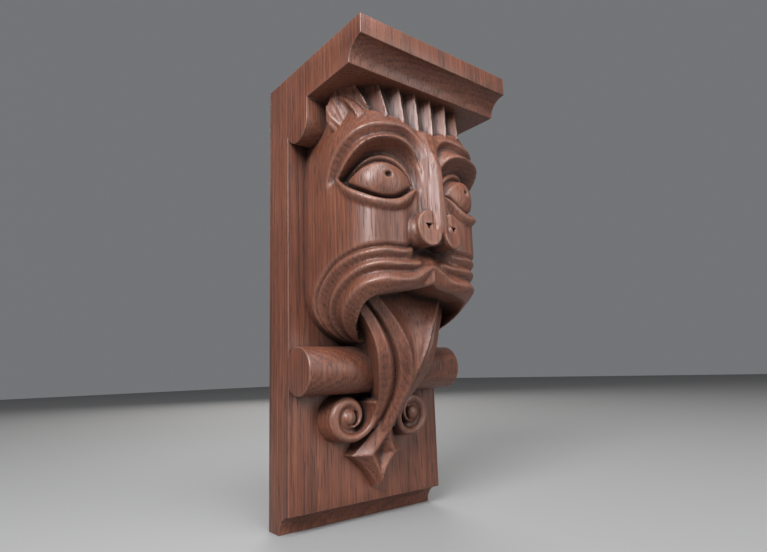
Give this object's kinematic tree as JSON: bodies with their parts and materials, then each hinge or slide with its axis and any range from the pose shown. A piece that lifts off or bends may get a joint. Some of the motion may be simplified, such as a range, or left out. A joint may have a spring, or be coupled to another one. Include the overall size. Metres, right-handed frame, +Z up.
{
  "type": "carved wooden corbel",
  "caption": "Carved oak wall corbel: a moulded cap on a board, with a grotesque head whose long tongue hangs over a round bar and ends in scrolls and a lozenge.",
  "frame": {"origin": "centre of the flat back face, where the corbel lies against the wall", "axes": "+Z up along the grain, +Y out of the back face into the wall, so the carved front faces -Y and +X is the viewer's right"},
  "size_m": [0.14, 0.125, 0.335],
  "materials": {
    "oak": "dark stained and waxed oak, grain upright, dull sheen"
  },
  "bodies": {
    "root": {"corbel": "oak"}
  },
  "joints": []
}
